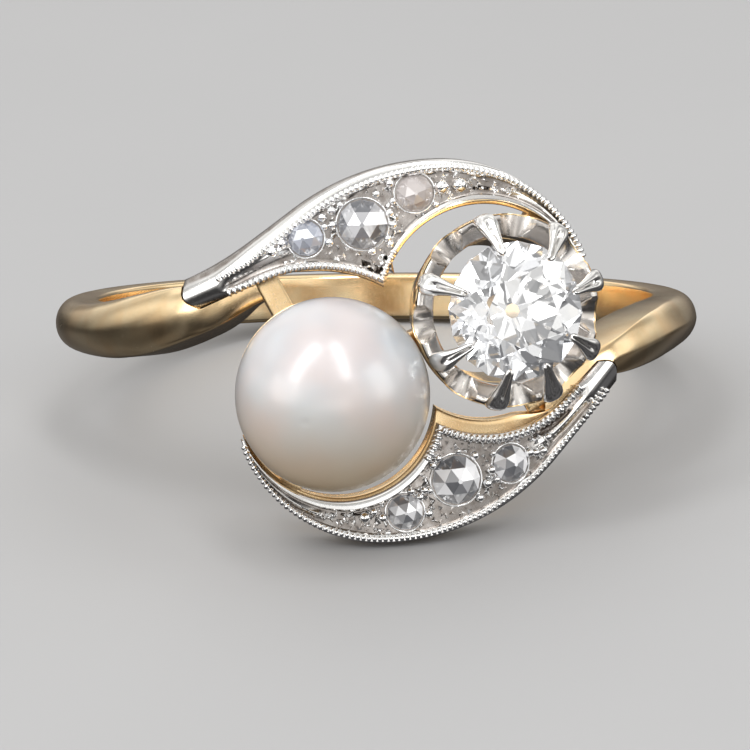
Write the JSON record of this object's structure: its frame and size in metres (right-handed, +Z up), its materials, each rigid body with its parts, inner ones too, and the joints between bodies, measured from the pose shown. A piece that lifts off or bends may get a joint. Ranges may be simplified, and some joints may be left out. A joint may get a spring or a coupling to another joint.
{
  "type": "toi et moi ring",
  "caption": "Toi et moi finger ring: a round pearl and a claw-set old-cut diamond side by side between two curling platinum leaves with rose-cut stones, on a yellow gold shank.",
  "frame": {"origin": "on the surface the ring lies on, under the middle of its outline", "axes": "+Z up from the surface, +Y from the head to the back of the shank, +X to the diamond's side; the finger hole's axis leans 14.3 degrees from +Z toward +Y and 3.5 degrees toward +X"},
  "size_m": [0.02, 0.0248, 0.0111],
  "materials": {
    "yellow_gold": "polished 18 carat yellow gold with light wear",
    "platinum": "polished platinum, softly worn",
    "pearl": "lustrous nacre",
    "diamond": "polished facets",
    "rose_cut": "polished facets over a closed back"
  },
  "bodies": {
    "root": {"gold_frame": "yellow_gold", "upper_leaf": "platinum", "lower_leaf": "platinum", "crown": "platinum", "pearl": "pearl", "diamond": "diamond", "upper_small_stone": "rose_cut", "upper_large_stone": "rose_cut", "upper_medium_stone": "rose_cut", "lower_small_stone": "rose_cut", "lower_large_stone": "rose_cut", "lower_medium_stone": "rose_cut"}
  },
  "joints": []
}
